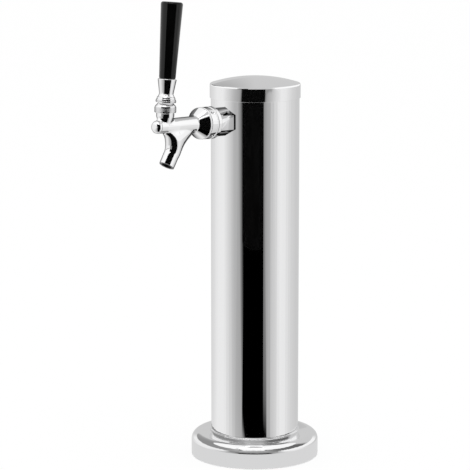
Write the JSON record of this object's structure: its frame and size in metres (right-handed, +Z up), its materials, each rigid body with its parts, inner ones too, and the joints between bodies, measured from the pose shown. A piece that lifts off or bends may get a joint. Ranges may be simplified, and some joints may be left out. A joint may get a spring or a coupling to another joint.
{
  "type": "beer tower dispenser",
  "caption": "Round beer tower with a single lever faucet and tap handle, a domed lift-off cap and a bolted round base.",
  "frame": {"origin": "centre of the base and its bolt circle, on the counter's surface at z = 0", "axes": "+Z up along the column, -Y the way the faucet points, X across"},
  "size_m": [0.111, 0.18, 0.4029],
  "materials": {
    "polished_steel": "polished",
    "chrome_plate": "polished",
    "black_grip": "gloss",
    "zinc_steel": "satin",
    "stainless": "satin",
    "brass": "satin",
    "rubber": "matte",
    "nylon": "matte",
    "foam": "matte"
  },
  "bodies": {
    "tower": {"base_shell": "polished_steel", "column_tube": "polished_steel", "shank_body": "chrome_plate", "coupling_nut": "chrome_plate", "faucet_body": "chrome_plate", "nose_plug": "chrome_plate", "bonnet": "chrome_plate", "mounting_plate": "zinc_steel", "saddle_washer": "zinc_steel", "shank_nut": "zinc_steel", "tail_nut": "zinc_steel", "snap_ring": "zinc_steel", "tail_elbow": "stainless", "base_gasket": "rubber", "tail_washer": "rubber", "coupling_gasket": "rubber", "friction_washer": "nylon", "ball_seat": "nylon", "ball_washer": "nylon", "insulation_sleeve": "foam"},
    "handle": {"tap_lever": "stainless", "lever_collar": "chrome_plate", "handle_ferrule": "chrome_plate", "ferrule_insert": "brass", "handle_grip": "black_grip"},
    "valve": {"valve_shaft": "stainless", "seat_washer": "rubber", "shaft_nut": "stainless"},
    "cap": {"top_cap": "chrome_plate"}
  },
  "joints": [
    {"name": "handle_tilt", "type": "hinge", "parent": "tower", "child": "handle", "pos_m": [0, -0.11114, 0.31429], "axis": [1, 0, 0], "range_deg": [0, 25]},
    {"name": "valve_slide", "type": "slide", "parent": "tower", "child": "valve", "axis": [0, 0.9993, -0.0366], "range_m": [0, 0.006]},
    {"name": "cap_lift", "type": "slide", "parent": "tower", "child": "cap", "axis": [0, 0, 1], "range_m": [0, 0.1]}
  ],
  "couplings": [
    {"joint": "valve_slide", "follows": "handle_tilt", "m_per_rad": 0.013744}
  ]
}
